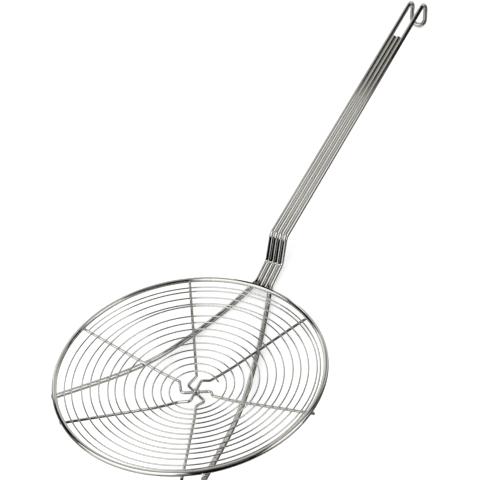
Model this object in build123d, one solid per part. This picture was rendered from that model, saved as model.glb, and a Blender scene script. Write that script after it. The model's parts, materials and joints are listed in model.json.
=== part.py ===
from build123d import *
import math
import os

os.makedirs("parts", exist_ok=True)

# Spiral wire skimmer. It is drawn with the rim flat, its middle at the origin and the handle along +Y,
# and is then set down as it rests, on both supports and the tip of the hook. Millimetres and degrees.
# An azimuth is counted from the handle, anticlockwise seen from above.

# Wire thicknesses, and the film left between two wires that a weld joins
rim_wire = 3.8
frame_wire = 4.0
rib_wire = 2.2
spiral_wire = 1.1
touch_gap = 0.03

# Rim: a ring bent from one wire, butt welded at its ends
rim_radius = 99.6
rim_weld_azimuth = 23.4
rim_weld_length = 0.9
rim_weld_upset = 0.14

# Ribs: three wires right across the bowl, each cranked sideways near the middle. Their six arms are
# lettered clockwise from the handle's left
rib_arms = {"lower_rib": ("a", "d"), "middle_rib": ("c", "f"), "upper_rib": ("b", "e")}
rib_azimuth = {"a": 33.4, "b": -29.7, "c": -88.7, "d": -149.9, "e": 146.9, "f": 88.6}
rib_overhang = {"a": 1.6, "b": 1.8, "c": 2.4, "d": 2.8, "e": 1.8, "f": 1.6}
rib_slope = 15.2
rib_straight_end_radius = 40.0
rib_curve_end_radius = 20.0

# Hub: where the three ribs cross, a little off the rim's axis, pressed into each other
hub_x = 2.0
hub_y = 0.3
crank_outer_radius = 15.6
crank_inner_radius = 11.1
crank_bend = 2.6
crank_outer_azimuth = {"a": 24.5, "b": -19.5, "c": -81.3, "d": -139.8, "e": 162.5, "f": 75.4}
hub_run_azimuth = {"lower_rib": 67.8, "middle_rib": -59.6, "upper_rib": 10.8}
rib_layer_number = {"lower_rib": -1, "middle_rib": 0, "upper_rib": 1}
hub_layer_step = 1.3

# Spiral: one wire wound on top of the ribs. Each row is one turn, as shares of the rim's radius
# at the four stations of that turn, and the last row is the tail that ends on a rib.
spiral_station_azimuth = (30, 120, 210, 300)
spiral_start_azimuth = -41.25
spiral_start_share = 0.195
spiral_turn_shares = (
    (0.191, 0.179, 0.210, 0.249),
    (0.260, 0.241, 0.265, 0.311),
    (0.322, 0.304, 0.321, 0.382),
    (0.384, 0.369, 0.382, 0.445),
    (0.441, 0.430, 0.445, 0.502),
    (0.502, 0.507, 0.512, 0.563),
    (0.563, 0.572, 0.573, 0.628),
    (0.621, 0.623, 0.639, 0.688),
    (0.680, 0.688, 0.698, 0.754),
    (0.771, 0.750, 0.752, 0.812),
    (0.789, 0.808, 0.817, 0.870),
    (0.845, 0.879, 0.889, 0.933),
    (0.905, 0.930, 0.942, 0.957),
    (0.941,),
)
spiral_end_azimuth = 88.5
spiral_end_share = 0.957

# Handle: two outer wires that carry on as the bowl's supports and join in the hook,
# and two shorter wires between them. It is set a little off the middle and turned slightly left
handle_shift = 0.4
handle_yaw_angle = 0.2
handle_low_slope = 24.0
handle_jog_slope = 63.1
handle_long_slope = 16.05
handle_low_reach = 24.6
handle_jog_reach = 10.3
handle_bend = 6.0
inner_wire_reach = 252.3
inner_wire_start = 1.8

# Hook: the tips turn down and meet in a round
hook_reach = 300.8
hook_depth = 24.1
hook_lean_angle = 10.5
hook_spread = 0.5
hook_tip_bend = 6.4
hook_round_share = 0.97

# Supports: the outer wires splay out under the bowl to the far side of the rim, each under two ribs.
# The slopes are those under the first rib, under the second rib and at the end
splay_reach = 7.0
splay_bend = 10.0
support_arms = {"left": ("a", "f"), "right": ("b", "c")}
support_side_sign = {"left": -1, "right": 1}
support_splay_angle = {"left": 22.4, "right": 17.2}
support_bow = {"left": 0.0, "right": 2.3}
support_slopes = {"left": (-8.9, 7.2, 14.6), "right": (-10.0, 5.0, 14.5)}
support_overhang = {"left": 2.6, "right": 5.0}

# Welds: beads where wires cross, a lump on the hub, and seams in the grooves under the handle
hub_weld_radius = 2.9
rib_weld_radius = 1.5
support_weld_radius = 1.9
inner_weld_radius = 1.3
seam_weld_radius = 0.85
seam_weld_length = 9.0
seam_end_share = 0.9
seam_drop = 1.25
seam_reaches = (60.0, 130.0, 200.0, 244.0)

# Counts and limits of the working
full_turn_angle = 360
gap_sample_count = 12
rest_sample_count = 30
settling_pass_count = 8
nearly_straight = 1e-12

# What follows from them
handle_pitch = frame_wire + touch_gap
outer_x = 1.5 * handle_pitch
inner_x = 0.5 * handle_pitch
rim_reach = rim_wire / 2 + frame_wire / 2 + touch_gap
rib_reach = rib_wire / 2 + frame_wire / 2 + touch_gap
hub = Vector(hub_x, hub_y, 0)


def plan_point(azimuth, radius, height=0):
    """A point by its azimuth, its distance from the rim's axis and its height."""
    angle = math.radians(azimuth) + math.pi / 2
    return Vector(radius * math.cos(angle), radius * math.sin(angle), height)


def plan_distance(point):
    """How far a point lies from the rim's axis."""
    return math.hypot(point.X, point.Y)


def rim_way(point):
    """Direction of the rim's wire over or under a point."""
    return Vector(-point.Y, point.X, 0).normalized()


def tangent_of(degrees):
    return math.tan(math.radians(degrees))


def crossing_drop(reach, upper_way, lower_way):
    """Height between two wires' middles where one passes under the other, reach apart."""
    return reach / abs(upper_way.cross(lower_way).normalized().Z)


def touching_point(upper, upper_way, upper_wire, lower, lower_way):
    """The point between two crossing wires, just under the upper one."""
    down = upper_way.cross(lower_way).normalized()
    if down.Z > 0:
        down = down * -1
    across = lower_way.cross(down)
    nearest = upper + upper_way * ((lower - upper).dot(across) / upper_way.dot(across))
    return nearest + down * ((upper_wire + touch_gap) / 2)


def wire_along(edges, diameter):
    """A round wire swept along edges that follow each other smoothly."""
    path = Wire(edges)
    section = Plane(origin=path @ 0, z_dir=path % 0) * Circle(diameter / 2)
    return sweep(section, path=path)


def biarc(start, start_way, end, end_way):
    """Two arcs that run on smoothly from one point and direction to another."""
    chord = end - start
    ways = start_way + end_way
    spread = 2 * (1 - start_way.dot(end_way))
    along = chord.dot(ways)
    if spread < nearly_straight:
        return [Line(start, end).edge()]
    reach = (math.sqrt(along**2 + spread * chord.dot(chord)) - along) / spread
    first_corner = start + start_way * reach
    last_corner = end - end_way * reach
    middle = (first_corner + last_corner) / 2
    middle_way = last_corner - first_corner
    return [
        TangentArc(start, middle, tangent=start_way).edge(),
        TangentArc(middle, end, tangent=middle_way).edge(),
    ]


def biarc_chain(points, ways):
    """Smooth arcs through a row of points, each with its direction."""
    edges = []
    for index in range(len(points) - 1):
        edges += biarc(points[index], ways[index], points[index + 1], ways[index + 1])
    return edges


# Heights of the bowl: straight ribs from the rim, then one arc that is level at the middle
rib_rim_height = -(rim_wire / 2 + rib_wire / 2 + touch_gap) / math.cos(math.radians(rib_slope))
bowl_curve = rib_straight_end_radius / math.sin(math.radians(rib_slope))
rib_knee_height = rib_rim_height - (rim_radius - rib_straight_end_radius) * tangent_of(rib_slope)
bowl_floor = rib_knee_height - bowl_curve * (1 - math.cos(math.radians(rib_slope)))


def rib_height(radius):
    """Height of a rib's middle at a distance from the rim's axis."""
    if radius > rib_straight_end_radius:
        return rib_rim_height - (rim_radius - radius) * tangent_of(rib_slope)
    return bowl_floor + bowl_curve - math.sqrt(bowl_curve**2 - radius**2)


def rib_rise(radius):
    """Slope of a rib, in radians, at a distance from the rim's axis."""
    return math.asin(min(radius, rib_straight_end_radius) / bowl_curve)


def arm_line(arm):
    """Plan points of one arm's straight run: its end past the rim and its outer crank."""
    end = plan_point(rib_azimuth[arm], rim_radius + rib_overhang[arm])
    return end, plan_point(crank_outer_azimuth[arm], crank_outer_radius)


def on_arm(arm, radius):
    """The point of an arm's plan line at a distance from the rim's axis."""
    end, crank = arm_line(arm)
    way = (end - crank).normalized()
    nearest = -crank.dot(way)
    offset = (crank + way * nearest).length
    return crank + way * (nearest + math.sqrt(radius**2 - offset**2))


def arm_way(arm, radius):
    """Direction of an arm, outwards, at a distance from the rim's axis."""
    end, crank = arm_line(arm)
    return (end - crank).normalized() + Vector(0, 0, math.tan(rib_rise(radius)))


def arm_points(arm, through_azimuth, layer):
    """An arm's corners from the rim inwards: end, knee, outer crank and inner crank."""
    end = on_arm(arm, rim_radius + rib_overhang[arm])
    end.Z = rib_height(rim_radius + rib_overhang[arm])
    upper = rib_rise(rib_straight_end_radius)
    lower = rib_rise(rib_curve_end_radius)
    stretch = bowl_curve / math.cos((upper - lower) / 2)
    knee = on_arm(arm, stretch * math.sin((upper + lower) / 2))
    knee.Z = bowl_floor + bowl_curve - stretch * math.cos((upper + lower) / 2)
    crank_height = rib_height(rib_curve_end_radius)
    crank_height -= (rib_curve_end_radius - crank_outer_radius) * math.tan(lower)
    outer_crank = plan_point(crank_outer_azimuth[arm], crank_outer_radius, crank_height)
    inner_height = rib_height(crank_inner_radius) + layer * hub_layer_step
    inner_crank = hub + plan_point(through_azimuth, crank_inner_radius, inner_height)
    return [end, knee, outer_crank, inner_crank]


def rib_wire_along(name):
    """One rib from rim to rim through the hub."""
    first, second = rib_arms[name]
    layer = rib_layer_number[name]
    through = hub_run_azimuth[name]
    corners = arm_points(first, through, layer)
    corners += reversed(arm_points(second, through + full_turn_angle / 2, layer))
    bends = (bowl_curve, crank_bend, crank_bend)
    path = FilletPolyline(*corners, radius=bends + bends[::-1])
    return wire_along(path.edges(), rib_wire)


def pressed_ribs():
    """The three ribs, the lower and upper ones notched where they are pressed on the middle one."""
    ribs = {name: rib_wire_along(name) for name in rib_arms}
    for name in ("lower_rib", "upper_rib"):
        ribs[name] -= ribs["middle_rib"]
    return ribs


def spiral_stations():
    """Azimuth and radius of each station along the spiral, from the middle outwards."""
    stations = [(spiral_start_azimuth, spiral_start_share * rim_radius)]
    for turn, shares in enumerate(spiral_turn_shares):
        for azimuth, share in zip(spiral_station_azimuth, shares):
            stations.append((azimuth + turn * full_turn_angle, share * rim_radius))
    last_turn = (len(spiral_turn_shares) - 1) * full_turn_angle
    stations.append((spiral_end_azimuth + last_turn, spiral_end_share * rim_radius))
    return stations


def spiral_height(radius):
    """Height of the spiral's middle where it lies on a rib."""
    reach = rib_wire / 2 + spiral_wire / 2 + touch_gap
    return rib_height(radius) + reach / math.cos(rib_rise(radius))


def spiral_edges():
    stations = spiral_stations()
    points = [plan_point(azimuth, radius, spiral_height(radius)) for azimuth, radius in stations]
    ways = []
    for index, (azimuth, radius) in enumerate(stations):
        before = stations[max(index - 1, 0)]
        after = stations[min(index + 1, len(stations) - 1)]
        growth = (after[1] - before[1]) / math.radians(after[0] - before[0])
        climb = growth * math.tan(rib_rise(radius))
        outwards = plan_point(azimuth, growth, climb)
        ways.append((outwards + plan_point(azimuth + full_turn_angle / 4, radius)).normalized())
    return biarc_chain(points, ways)


def distance_to_run(point, start, end):
    """Distance from a point to a straight run."""
    run = end - start
    share = min(max((point - start).dot(run) / run.dot(run), 0), 1)
    return (point - start - run * share).length


def least_gap(edges):
    """Least distance between one turn's wire and the next, measured on sampled points."""
    arcs_per_turn = 2 * len(spiral_station_azimuth)
    rows = [[edge @ (step / gap_sample_count) for step in range(gap_sample_count + 1)] for edge in edges]
    nearest = rim_radius
    for index, row in enumerate(rows):
        for other in rows[index + arcs_per_turn - 2 : index + arcs_per_turn + 3]:
            for point in row:
                for start, end in zip(other, other[1:]):
                    nearest = min(nearest, distance_to_run(point, start, end))
    return nearest - spiral_wire


# The handle's line in its upright plane, from under the rim to the tips
low_height = -rim_reach / math.cos(math.radians(handle_low_slope))
low_bend_height = low_height + handle_low_reach * tangent_of(handle_low_slope)
high_bend_reach = handle_low_reach + handle_jog_reach
high_bend_height = low_bend_height + handle_jog_reach * tangent_of(handle_jog_slope)


def handle_point(x, reach, height):
    """A point of the handle, reach beyond the middle of the rim's wire."""
    return Vector(x + handle_shift - reach * tangent_of(handle_yaw_angle), rim_radius + reach, height)


def low_line(x, reach):
    """A point of the handle's low run."""
    return handle_point(x, reach, low_height + reach * tangent_of(handle_low_slope))


def long_line(x, reach):
    """A point of the handle's long run."""
    height = high_bend_height + (reach - high_bend_reach) * tangent_of(handle_long_slope)
    return handle_point(x, reach, height)


def handle_bends(x):
    low_bend = handle_point(x, handle_low_reach, low_bend_height)
    return [low_bend, handle_point(x, high_bend_reach, high_bend_height)]


def hook_corners(side):
    tip = long_line(side * outer_x, hook_reach)
    return [tip, tip + Vector(side * hook_spread, -hook_depth * tangent_of(hook_lean_angle), -hook_depth)]


def plan_crossing(point, way, line):
    """Where a plan line meets another, given by two of its points."""
    start, end = line
    other = end - start
    steps = (start - point).cross(other).Z / way.cross(other).Z
    return point + way * steps


def rim_crossing(point, way, far):
    """Where a plan line from outside the rim passes it, on its far side or its near one."""
    nearest = -point.dot(way)
    offset = (point + way * nearest).length
    return point + way * (nearest + far * math.sqrt(rim_radius**2 - offset**2))


class Support:
    """A support's points and directions, from under the near rim to under the far rim."""

    def __init__(self, name):
        side = support_side_sign[name]
        turn = math.radians(support_splay_angle[name])
        way = Vector(side * math.sin(turn), -math.cos(turn), 0)
        outwards = Vector(side * math.cos(turn), math.sin(turn), 0)
        self.corner = low_line(side * outer_x, splay_reach)
        foot = Vector(self.corner.X, self.corner.Y, 0)
        far_rim = rim_crossing(foot, way, 1)
        span = (far_rim - foot).length
        bow_slope = 4 * support_bow[name] / span
        near_way = (way + outwards * bow_slope).normalized()
        self.uppers = [rim_crossing(foot, near_way, -1)]
        self.upper_ways = [rim_way(self.uppers[0])]
        plan_ways = [near_way]
        for arm in support_arms[name]:
            distance = (plan_crossing(foot, way, arm_line(arm)) - foot).length
            bow = bow_slope * distance * (1 - distance / span)
            upper = plan_crossing(foot + outwards * bow, way, arm_line(arm))
            radius = plan_distance(upper)
            upper.Z = rib_height(radius)
            self.uppers.append(upper)
            self.upper_ways.append(arm_way(arm, radius))
            plan_ways.append((way + outwards * bow_slope * (1 - 2 * distance / span)).normalized())
        self.uppers.append(far_rim)
        self.upper_ways.append(rim_way(far_rim))
        plan_ways.append((way - outwards * bow_slope).normalized())
        self.upper_wires = [rim_wire, rib_wire, rib_wire, rim_wire]
        slopes = [self.near_slope(foot, near_way)]
        slopes += [tangent_of(slope) for slope in support_slopes[name]]
        self.ways = [plan_way + Vector(0, 0, slope) for plan_way, slope in zip(plan_ways, slopes)]
        self.points = []
        reaches = (rim_reach, rib_reach, rib_reach, rim_reach)
        for upper, upper_way, way, reach in zip(self.uppers, self.upper_ways, self.ways, reaches):
            self.points.append(upper - Vector(0, 0, crossing_drop(reach, upper_way, way)))
        self.ways = [way.normalized() for way in self.ways]
        self.end = self.points[-1] + self.ways[-1] * support_overhang[name]

    def near_slope(self, foot, way):
        """Slope of the straight run from the corner to where it passes under the near rim."""
        slope = -tangent_of(handle_low_slope)
        for _ in range(settling_pass_count):
            drop = crossing_drop(rim_reach, self.upper_ways[0], way + Vector(0, 0, slope))
            slope = -(drop + self.corner.Z) / (self.uppers[0] - foot).length
        return slope

    def edges(self):
        """From under the near rim to the end."""
        return biarc_chain(self.points, self.ways) + [Line(self.points[-1], self.end).edge()]

    def edges_back(self):
        """From the end to under the near rim."""
        back_ways = [way * -1 for way in self.ways[::-1]]
        return [Line(self.end, self.points[-1]).edge()] + biarc_chain(self.points[::-1], back_ways)

    def touching_points(self):
        rows = zip(self.uppers, self.upper_ways, self.upper_wires, self.points, self.ways)
        return [touching_point(*row) for row in rows]


def frame_edges(left, right):
    """The long wire's path: left support, handle, hook, handle and right support."""
    corners = [left.points[0], left.corner, *handle_bends(-outer_x), *hook_corners(-1)]
    corners += [*hook_corners(1)[::-1], *handle_bends(outer_x)[::-1]]
    corners += [right.corner, right.points[0]]
    hook_round = (outer_x + hook_spread) * hook_round_share
    bends = (splay_bend, handle_bend, handle_bend, hook_tip_bend, hook_round)
    handle = FilletPolyline(*corners, radius=bends + bends[::-1])
    return left.edges_back() + list(handle.edges()) + right.edges()


def inner_handle_wire(x):
    corners = [low_line(x, inner_wire_start), *handle_bends(x), long_line(x, inner_wire_reach)]
    return wire_along(FilletPolyline(*corners, radius=handle_bend).edges(), frame_wire)


def ring_stretch(azimuth, length, diameter):
    """A stretch of ring centred on an azimuth."""
    sweep_angle = math.degrees(length / rim_radius)
    start = azimuth + full_turn_angle / 4 - sweep_angle / 2
    return wire_along([CenterArc((0, 0, 0), rim_radius, start, sweep_angle).edge()], diameter)


def rim_ring():
    length = 2 * math.pi * rim_radius - rim_weld_length
    return ring_stretch(rim_weld_azimuth + full_turn_angle / 2, length, rim_wire)


def rim_butt_weld():
    return ring_stretch(rim_weld_azimuth, rim_weld_length, rim_wire + 2 * rim_weld_upset)


def bead(centre, radius, wires):
    """A ball of weld metal round the wires that it joins."""
    ball = Pos(*centre) * Sphere(radius)
    for wire in wires:
        ball -= wire
    return ball.solids()


def hub_weld(ribs):
    middle = hub + Vector(0, 0, rib_height(crank_inner_radius))
    return bead(middle, hub_weld_radius, ribs.values())


def rib_rim_welds(ring, ribs):
    """A bead under the rim at each of the six arms."""
    beads = []
    for name, arms in rib_arms.items():
        for arm in arms:
            upper = on_arm(arm, rim_radius)
            lower = upper + Vector(0, 0, rib_height(rim_radius))
            centre = touching_point(upper, rim_way(upper), rim_wire, lower, arm_way(arm, rim_radius))
            beads += bead(centre, rib_weld_radius, (ring, ribs[name]))
    return beads


def support_welds(supports, frame, ring, ribs):
    """Beads of the supports under the rim, and those under the ribs."""
    names = {arm: name for name, arms in rib_arms.items() for arm in arms}
    rim_beads = []
    rib_beads = []
    for name, support in supports.items():
        near_rim, first_rib, second_rib, far_rim = support.touching_points()
        for centre in (near_rim, far_rim):
            rim_beads += bead(centre, support_weld_radius, (ring, frame))
        for centre, arm in zip((first_rib, second_rib), support_arms[name]):
            rib_beads += bead(centre, rib_weld_radius, (ribs[names[arm]], frame))
    return rim_beads, rib_beads


def inner_wire_welds(ring, inner_wires):
    """Beads where the two inner handle wires end under the rim."""
    beads = []
    for x, wire in inner_wires.items():
        lower = low_line(x, 0)
        upper = Vector(lower.X, lower.Y, 0)
        way = low_line(x, handle_low_reach) - lower
        centre = touching_point(upper, rim_way(upper), rim_wire, lower, way)
        beads += bead(centre, inner_weld_radius, (ring, wire))
    return beads


def handle_seam_welds():
    """Short seams in the three grooves under the handle's long run."""
    run = long_line(0, inner_wire_reach) - long_line(0, high_bend_reach)
    side = Vector(1, 0, 0)
    under = run.cross(side).normalized()
    if under.Z > 0:
        under = under * -1
    blank = Cylinder(seam_weld_radius, seam_weld_length)
    ends = blank.edges().filter_by(GeomType.CIRCLE)
    blank = fillet(ends, radius=seam_weld_radius * seam_end_share)
    wire_blank = Cylinder(frame_wire / 2 + touch_gap, 2 * seam_weld_length)
    beads = []
    for reach in seam_reaches:
        for groove in (-1, 0, 1):
            middle = long_line(groove * handle_pitch, reach)
            seam = Plane(origin=middle + under * seam_drop, x_dir=side, z_dir=run) * blank
            for neighbour in (-1, 1):
                start = long_line((groove + neighbour / 2) * handle_pitch, reach)
                seam -= Plane(origin=start, z_dir=run) * wire_blank
            beads += seam.solids()
    return beads


def lowest(points, up):
    return min(points, key=up.dot)


def resting_floor(edges):
    """The floor's plane: the skimmer stands on its two supports and the round of its hook."""
    points = [edge @ (step / rest_sample_count) for edge in edges for step in range(rest_sample_count + 1)]
    left_foot = [point for point in points if point.Y < rim_radius and point.X < 0]
    right_foot = [point for point in points if point.Y < rim_radius and point.X > 0]
    hook_foot = [point for point in points if point.Y > rim_radius + inner_wire_reach]
    up = Vector(0, 0, 1)
    for _ in range(settling_pass_count):
        left, right, tip = [lowest(foot, up) for foot in (left_foot, right_foot, hook_foot)]
        up = (right - left).cross(tip - left).normalized()
    forwards = Vector(0, 1, 0) - up * up.Y
    return Plane(origin=tip - up * (frame_wire / 2), x_dir=forwards.cross(up), z_dir=up)


def set_down(parts, floor):
    """The parts as they rest, with the middle of the whole over the origin."""
    placed = {name: floor.location.inverse() * shape for name, shape in parts.items()}
    middle = Compound(list(placed.values())).bounding_box().center()
    print("floor", floor.origin, floor.x_dir, floor.y_dir, floor.z_dir, "then moved by", middle)
    return {name: Pos(-middle.X, -middle.Y, 0) * shape for name, shape in placed.items()}


def main():
    spiral_path = spiral_edges()
    print("spiral turns", round(len(spiral_path) / 2 / len(spiral_station_azimuth), 2))
    print("least gap of the spiral to itself", round(least_gap(spiral_path), 3))
    supports = {name: Support(name) for name in support_arms}
    frame_path = frame_edges(supports["left"], supports["right"])
    frame = wire_along(frame_path, frame_wire)
    ring = rim_ring()
    ribs = pressed_ribs()
    inner_wires = {x: inner_handle_wire(x) for x in (-inner_x, inner_x)}
    support_rim_welds, support_rib_welds = support_welds(supports, frame, ring, ribs)
    parts = {
        "rim_ring": ring,
        "rim_butt_weld": rim_butt_weld(),
        "spiral_wire": wire_along(spiral_path, spiral_wire),
        "frame_wire": frame,
        "left_inner_handle_wire": inner_wires[-inner_x],
        "right_inner_handle_wire": inner_wires[inner_x],
        **ribs,
        "hub_weld": Compound(hub_weld(ribs)),
        "rib_rim_welds": Compound(rib_rim_welds(ring, ribs)),
        "support_rim_welds": Compound(support_rim_welds),
        "support_rib_welds": Compound(support_rib_welds),
        "inner_wire_welds": Compound(inner_wire_welds(ring, inner_wires)),
        "handle_seam_welds": Compound(handle_seam_welds()),
    }
    for name, shape in set_down(parts, resting_floor(frame_path)).items():
        export_step(shape, "parts/" + name + ".step")


main()
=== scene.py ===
import json
import math

import bpy
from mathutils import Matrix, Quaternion, Vector


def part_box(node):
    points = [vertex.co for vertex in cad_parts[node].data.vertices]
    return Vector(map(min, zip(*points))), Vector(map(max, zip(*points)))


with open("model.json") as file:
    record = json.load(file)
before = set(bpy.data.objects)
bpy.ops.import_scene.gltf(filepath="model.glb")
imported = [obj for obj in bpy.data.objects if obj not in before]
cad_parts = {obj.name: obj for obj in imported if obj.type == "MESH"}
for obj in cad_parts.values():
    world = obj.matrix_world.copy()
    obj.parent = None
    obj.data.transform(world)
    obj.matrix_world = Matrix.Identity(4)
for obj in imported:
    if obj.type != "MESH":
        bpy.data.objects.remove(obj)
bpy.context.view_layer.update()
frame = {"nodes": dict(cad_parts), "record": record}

# Camera: a long lens from above the right front of the bowl, turned about its own axis.
camera_place = (0.40789, -0.45743, 0.75628)
camera_target = (-0.02996, -0.03277, 0.020)
camera_roll = 21.486
camera_lens = 90
camera_sensor = 36

# Bowl: the middle of its rim, its radius, and how far the handle side of the rim leans down, in degrees.
rim_low, rim_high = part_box("rim_ring")
rim_middle = (rim_low + rim_high) / 2
rim_reach = (rim_high.x - rim_low.x) / 2
rim_tilt = 15.97

# The middle of the steep stretch where the handle steps up beside the rim.
jog_middle = Vector((0, -0.028, 0.015))

# Tones are linear, so 0.5 shows as a light grey.
white = (1.0, 1.0, 1.0)
pale = (0.65, 0.64, 0.62)
light_grey = (0.51, 0.5, 0.48)
grey = (0.41, 0.4, 0.385)
middle_grey = (0.34, 0.33, 0.32)
deep_grey = (0.19, 0.185, 0.18)
dark_grey = (0.09, 0.088, 0.084)
dark_brown = (0.025, 0.017, 0.014)
dark_green = (0.012, 0.022, 0.018)
black = (0.005, 0.005, 0.005)
window_white = (1.2, 1.2, 1.19)
bright_plating = (0.955, 0.945, 0.91)
dull_plating = (0.885, 0.875, 0.85)

# Floor: a large sheet of white paper, lifted to white only for the camera.
floor_size = 6.0
floor_tone = 0.92
floor_grain_spread = 0.01
floor_grain_scale = 400.0
floor_lift = 0.42
paper_tint = (0.97, 0.985, 1.0)

# Light: an even white room and one soft lamp, set back from the bowl.
room_strength = 0.85
lamp_size = 1.2
lamp_energy = 2.5
lamp_distance = 1.3
lamp_azimuth = -140
lamp_elevation = 60

# Surroundings as the metal sees them: greys from straight down to straight up, by half the sine of the
# elevation plus a half.
surround_tones = [
    (0.0, 0.55),
    (0.2, 0.28),
    (0.4, 0.28),
    (0.5, 0.72),
    (0.9, 1.0),
    (0.95, 1.1),
    (1.0, 1.35),
]

# Studio cards that only the metal sees: name, azimuth and elevation of the middle as seen from the bowl,
# distance in metres, width, height and lean in degrees, and tone.
bowl_cards = [
    ("dark_side", 120, 10, 0.6, 45, 85, 25, black),
    ("dark_strip", 45, -10, 1.5, 20, 100, -20, black),
    ("dark_bar", -75, 40, 1.5, 55, 25, -20, black),
    ("green_panel", -110, 15, 0.55, 55, 30, 0, dark_green),
    ("dark_rod", 20, 45, 0.55, 20, 70, 35, black),
    ("small_grey", 45, 60, 0.65, 40, 20, -35, grey),
    ("dark_top", 125, 45, 0.85, 45, 20, -15, dark_grey),
    ("dark_floor", 35, -60, 1.5, 45, 100, 10, dark_grey),
    ("brown_top", 110, 55, 1.05, 40, 65, -55, dark_brown),
    ("grey_strip", -105, 5, 1.45, 25, 35, 60, light_grey),
    ("dark_ceiling", 90, 60, 3, 65, 45, 50, black),
    ("grey_back", 0, 15, 2.2, 100, 75, 30, light_grey),
    ("grey_ceiling", -20, 70, 2.65, 35, 30, -30, deep_grey),
    ("dark_low", 150, -20, 2.2, 55, 60, 35, black),
    ("grey_near", -140, -35, 3, 105, 75, 30, grey),
    ("pale_left", -50, -20, 1.6, 55, 55, 40, pale),
    ("dark_jog", 55, -30, 0.65, 40, 80, -10, dark_grey),
    ("pale_right", 100, -30, 1.4, 30, 140, 25, grey),
    ("white_window", 55, 35, 0.8, 20, 30, -5, window_white),
    ("pale_front", 55, -15, 1, 35, 40, 0, pale),
    ("grey_rod", -25, 45, 1.05, 15, 45, 0, middle_grey),
]

# The same for the small cards that stand close to the handle's jog, as seen from its middle.
jog_cards = [
    ("dark_near_jog", -165, 12, 0.027, 80, 70, 0, black),
    ("pale_near_jog", 125, 5, 0.035, 20, 60, 0, white),
]

# Share of a card's distance over which it fades out at its edges.
card_edge_share = 0.035

# Marks on the wires: scales per metre, the share of the scale that is left along the wire, the pits' size
# as a share of their spacing, the lines' height against the pits' depth, and the depth in metres.
drawing_line_scale = 2600.0
wire_cloud_scale = 140.0
pit_scale = 420.0
along_wire_share = 0.06
pit_size_share = 0.07
line_height_share = 0.5
wire_mark_depth = 0.00002

# Marks on the weld metal: scales per metre and the depth in metres.
weld_ripple_scale = 700.0
weld_cloud_scale = 220.0
weld_ripple_depth = 0.00025

# Where the clouds in a noise begin and are full, and the shade between them against the metal's own tone.
cloud_start = 0.3
cloud_full = 0.7
wire_cloud_shade = 0.97
weld_cloud_shade = 0.85

# Roughness between the clouds and in them, and strength of the marks.
thick_wire_gloss = (0.01, 0.03)
thin_wire_gloss = (0.02, 0.05)
weld_gloss = (0.10, 0.24)
thick_wire_marks = 0.08
thin_wire_marks = 0.1
weld_marks = 0.5


def make_camera():
    """The camera at the photograph's viewing angle."""
    data = bpy.data.cameras.new("camera")
    data.lens = camera_lens
    data.sensor_width = camera_sensor
    camera = bpy.data.objects.new("camera", data)
    bpy.context.scene.collection.objects.link(camera)
    camera.location = camera_place
    aim = Vector(camera_target) - Vector(camera_place)
    level = aim.to_track_quat("-Z", "Y")
    turned = Quaternion((0, 0, 1), -math.radians(camera_roll))
    camera.rotation_mode = "QUATERNION"
    camera.rotation_quaternion = level @ turned
    bpy.context.scene.camera = camera


def direction(azimuth, elevation):
    """Unit vector: azimuth 0 is along the handle, 90 to the right of it, elevation 90 straight up."""
    across = math.cos(math.radians(elevation))
    return Vector((
        across * math.sin(math.radians(azimuth)),
        across * math.cos(math.radians(azimuth)),
        math.sin(math.radians(elevation)),
    ))


class Nodes:
    """Short way to add nodes to a material or world and join them."""

    def __init__(self, owner):
        owner.use_nodes = True
        self.tree = owner.node_tree
        self.tree.nodes.clear()

    def add(self, kind, settings=None, **inputs):
        """A new node, with underscores for the spaces in the names of its inputs."""
        node = self.tree.nodes.new(kind)
        for name, value in (settings or {}).items():
            setattr(node, name, value)
        for name, value in inputs.items():
            self.feed(node.inputs[name.replace("_", " ")], value)
        return node

    def feed(self, socket, value):
        """Links the socket to another one, or sets it to a plain value."""
        if isinstance(value, bpy.types.NodeSocket):
            self.tree.links.new(value, socket)
        else:
            socket.default_value = value

    def math(self, operation, *values):
        """The result of a math node."""
        node = self.tree.nodes.new("ShaderNodeMath")
        node.operation = operation
        for socket, value in zip(node.inputs, values):
            self.feed(socket, value)
        return node.outputs[0]

    def ramp(self, fac, stops):
        """A colour ramp with (place, grey or colour) stops."""
        node = self.tree.nodes.new("ShaderNodeValToRGB")
        bar = node.color_ramp.elements
        while len(bar) < len(stops):
            bar.new(0.5)
        for spot, (place, tone) in zip(bar, stops):
            spot.position = place
            colour = tone if isinstance(tone, tuple) else (tone, tone, tone)
            spot.color = (*colour, 1)
        self.feed(node.inputs[0], fac)
        return node.outputs[0]

    def span(self, value, low, high):
        """Brings a 0 to 1 value to the span from low to high."""
        node = self.add("ShaderNodeMapRange")
        self.feed(node.inputs["Value"], value)
        self.feed(node.inputs["To Min"], low)
        self.feed(node.inputs["To Max"], high)
        return node.outputs[0]

    def pair(self, kind, first, second, **inputs):
        """A mix or add shader of two shader nodes."""
        both = self.add(kind, **inputs)
        shaders = [socket for socket in both.inputs if socket.type == "SHADER"]
        self.feed(shaders[0], first.outputs[0])
        self.feed(shaders[1], second.outputs[0])
        return both


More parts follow.
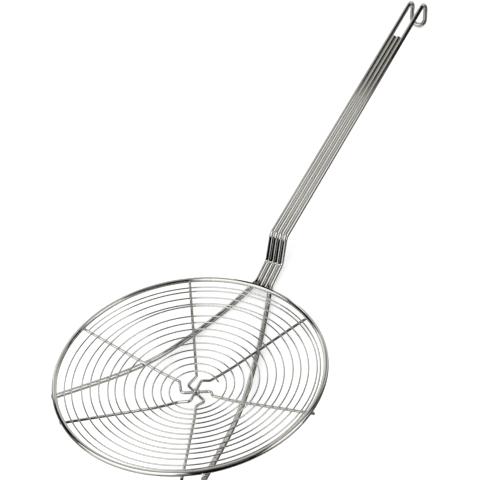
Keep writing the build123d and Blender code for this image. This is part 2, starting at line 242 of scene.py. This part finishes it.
def make_world():
    """Even white light and a white backdrop, and a room of soft greys for the metal to reflect."""
    world = bpy.data.worlds.new("studio")
    bpy.context.scene.world = world
    nodes = Nodes(world)
    place = nodes.add("ShaderNodeTexCoord")
    parts = nodes.add("ShaderNodeSeparateXYZ", Vector=place.outputs["Generated"])
    height = nodes.span(parts.outputs["Z"], 0, 1)
    height.node.inputs["From Min"].default_value = -1
    tone = nodes.ramp(height, surround_tones)
    seen = nodes.add("ShaderNodeBackground", Color=tone, Strength=1.0)
    plain = nodes.add("ShaderNodeBackground", Color=(*white, 1), Strength=room_strength)
    backdrop = nodes.add("ShaderNodeBackground", Color=(*white, 1), Strength=1.0)
    path = nodes.add("ShaderNodeLightPath")
    light = nodes.pair("ShaderNodeMixShader", plain, seen, Fac=path.outputs["Is Glossy Ray"])
    shown = nodes.pair("ShaderNodeMixShader", light, backdrop, Fac=path.outputs["Is Camera Ray"])
    nodes.add("ShaderNodeOutputWorld", Surface=shown.outputs[0])


def make_sheet(name, finish, width, height):
    """A flat rectangle about its own middle, and the nodes of its empty material, which is named finish."""
    half_width = width / 2
    half_height = height / 2
    mesh = bpy.data.meshes.new(name)
    corners = [(-half_width, -half_height, 0), (half_width, -half_height, 0)]
    corners += [(half_width, half_height, 0), (-half_width, half_height, 0)]
    mesh.from_pydata(corners, [], [(0, 1, 2, 3)])
    sheet = bpy.data.objects.new(name, mesh)
    bpy.context.scene.collection.objects.link(sheet)
    material = bpy.data.materials.new(finish)
    mesh.materials.append(material)
    return sheet, Nodes(material)


def make_floor():
    """A plain white floor that keeps the soft shadow."""
    floor, nodes = make_sheet("floor", "white_paper", floor_size, floor_size)
    grain = nodes.add("ShaderNodeTexNoise", Scale=floor_grain_scale, Detail=3.0)
    stops = [(cloud_start, floor_tone - floor_grain_spread), (cloud_full, floor_tone + floor_grain_spread)]
    colour = nodes.ramp(grain.outputs[0], stops)
    paper = nodes.add("ShaderNodeBsdfDiffuse", Color=colour)
    path = nodes.add("ShaderNodeLightPath")
    lift = nodes.math("MULTIPLY", path.outputs["Is Camera Ray"], floor_lift)
    glow = nodes.add("ShaderNodeEmission", Color=(*paper_tint, 1), Strength=lift)
    both = nodes.pair("ShaderNodeAddShader", paper, glow)
    nodes.add("ShaderNodeOutputMaterial", Surface=both.outputs[0])
    floor.visible_glossy = False


def make_card(centre, name, azimuth, elevation, distance, width, height, lean, tone):
    """A flat card that faces a place on the object, with slightly soft edges."""
    facing = direction(azimuth, elevation)
    half_width = distance * math.tan(math.radians(width / 2))
    half_height = distance * math.tan(math.radians(height / 2))
    card, nodes = make_sheet(name, name, 2 * half_width, 2 * half_height)
    card.location = centre + distance * facing
    card.rotation_mode = "QUATERNION"
    card.rotation_quaternion = facing.to_track_quat("Z", "Y") @ Quaternion((0, 0, 1), math.radians(lean))
    place = nodes.add("ShaderNodeTexCoord")
    spot = nodes.add("ShaderNodeSeparateXYZ", Vector=place.outputs["Object"])
    edge = card_edge_share * distance
    fades = []
    for axis, half in (("X", half_width), ("Y", half_height)):
        inside = nodes.math("SUBTRACT", half, nodes.math("ABSOLUTE", spot.outputs[axis]))
        fades.append(nodes.math("MINIMUM", nodes.math("DIVIDE", inside, edge), 1.0))
    cover = nodes.math("MULTIPLY", *fades)
    clear = nodes.add("ShaderNodeBsdfTransparent")
    felt = nodes.add("ShaderNodeEmission", Color=(*tone, 1), Strength=1.0)
    both = nodes.pair("ShaderNodeMixShader", clear, felt, Fac=cover)
    nodes.add("ShaderNodeOutputMaterial", Surface=both.outputs[0])
    card.visible_camera = False
    card.visible_diffuse = False
    card.visible_shadow = False


def make_lamp():
    """One large soft lamp high on the left, for a faint shadow."""
    data = bpy.data.lights.new("soft_lamp", "AREA")
    data.shape = "DISK"
    data.size = lamp_size
    data.energy = lamp_energy
    lamp = bpy.data.objects.new("soft_lamp", data)
    bpy.context.scene.collection.objects.link(lamp)
    away = direction(lamp_azimuth, lamp_elevation)
    lamp.location = rim_middle + lamp_distance * away
    lamp.rotation_mode = "QUATERNION"
    lamp.rotation_quaternion = away.to_track_quat("Z", "Y")
    lamp.visible_glossy = False


def wire_coordinates(nodes, run):
    """Coordinates and their scale for marks that follow the wire: round the bowl, out from its middle, or
    along the handle."""
    place = nodes.add("ShaderNodeTexCoord")
    if run == "handle":
        return place.outputs["Object"], (1.0, along_wire_share, 1.0)
    level = nodes.add("ShaderNodeMapping", {"vector_type": "TEXTURE"}, Vector=place.outputs["Object"])
    level.inputs["Location"].default_value = rim_middle
    level.inputs["Rotation"].default_value = (-math.radians(rim_tilt), 0, 0)
    parts = nodes.add("ShaderNodeSeparateXYZ", Vector=level.outputs[0])
    x, y = parts.outputs["X"], parts.outputs["Y"]
    square = nodes.math("ADD", nodes.math("MULTIPLY", x, x), nodes.math("MULTIPLY", y, y))
    radius = nodes.math("SQRT", square)
    turn = nodes.math("MULTIPLY", nodes.math("ARCTAN2", y, x), rim_reach)
    spread = nodes.add("ShaderNodeCombineXYZ", X=turn, Y=radius, Z=parts.outputs["Z"])
    scale = (along_wire_share, 1.0, 1.0) if run == "round" else (1.0, along_wire_share, 1.0)
    return spread.outputs[0], scale


def plating(nodes, shade, rough, bump):
    """Finishes a material as metal with the given shade, roughness and bump."""
    metal = nodes.add("ShaderNodeBsdfPrincipled", Base_Color=shade, Roughness=rough, Metallic=1.0)
    nodes.feed(metal.inputs["Normal"], bump.outputs[0])
    nodes.add("ShaderNodeOutputMaterial", Surface=metal.outputs[0])


def cloud_shade(nodes, clouds, share, tone):
    """The tone, a little darker between the clouds."""
    dim = tuple(share * part for part in tone)
    return nodes.ramp(clouds.outputs[0], [(cloud_start, dim), (cloud_full, tone)])


def plated_wire(name, run, tone, gloss, marks):
    """Polished plating: drawing lines along the wire, cloudy gloss and a few pin-size pits."""
    material = bpy.data.materials.new(name)
    nodes = Nodes(material)
    spread, scale = wire_coordinates(nodes, run)
    along = nodes.add("ShaderNodeMapping", Vector=spread)
    along.inputs["Scale"].default_value = scale
    lines = nodes.add("ShaderNodeTexNoise", Vector=along.outputs[0], Scale=drawing_line_scale, Detail=2.0)
    clouds = nodes.add("ShaderNodeTexNoise", Vector=spread, Scale=wire_cloud_scale, Detail=4.0)
    clouds.inputs["Roughness"].default_value = 0.6
    pits = nodes.add("ShaderNodeTexVoronoi", Vector=spread, Scale=pit_scale)
    pit = nodes.ramp(pits.outputs["Distance"], [(0.0, 0.0), (pit_size_share, 1.0)])
    shade = cloud_shade(nodes, clouds, wire_cloud_shade, tone)
    rough = nodes.span(clouds.outputs[0], *gloss)
    height = nodes.math("ADD", nodes.math("MULTIPLY", lines.outputs[0], line_height_share), pit)
    bump = nodes.add("ShaderNodeBump", Strength=marks, Distance=wire_mark_depth, Height=height)
    plating(nodes, shade, rough, bump)
    return material


def weld_metal(name, tone, gloss, marks):
    """Plated weld metal: rippled and a little duller than the wires."""
    material = bpy.data.materials.new(name)
    nodes = Nodes(material)
    place = nodes.add("ShaderNodeTexCoord").outputs["Object"]
    ripples = nodes.add("ShaderNodeTexNoise", Vector=place, Scale=weld_ripple_scale, Detail=3.0)
    clouds = nodes.add("ShaderNodeTexNoise", Vector=place, Scale=weld_cloud_scale, Detail=2.0)
    shade = cloud_shade(nodes, clouds, weld_cloud_shade, tone)
    rough = nodes.span(clouds.outputs[0], *gloss)
    bump = nodes.add("ShaderNodeBump", Strength=marks, Distance=weld_ripple_depth, Height=ripples.outputs[0])
    plating(nodes, shade, rough, bump)
    return material


def dress():
    """Gives each node the finish of its slot in the record. The rim and the handle have the thick wires."""
    thick = (bright_plating, thick_wire_gloss, thick_wire_marks)
    thin = (bright_plating, thin_wire_gloss, thin_wire_marks)
    finishes = {
        "rim": plated_wire("rim_plating", "round", *thick),
        "handle_and_supports": plated_wire("handle_plating", "handle", *thick),
        "ribs": plated_wire("rib_plating", "out", *thin),
        "spiral": plated_wire("spiral_plating", "round", *thin),
        "welds": weld_metal("weld_plating", dull_plating, weld_gloss, weld_marks),
    }
    slots = {part["node"]: part["material_slot"] for part in frame["record"]["subparts"]}
    for name, node in frame["nodes"].items():
        node.data.materials.clear()
        node.data.materials.append(finishes[slots[name]])


make_camera()
make_world()
make_floor()
for card_values in bowl_cards:
    make_card(rim_middle, *card_values)
for card_values in jog_cards:
    make_card(jog_middle, *card_values)
make_lamp()
dress()
bpy.context.scene.view_settings.view_transform = "Standard"
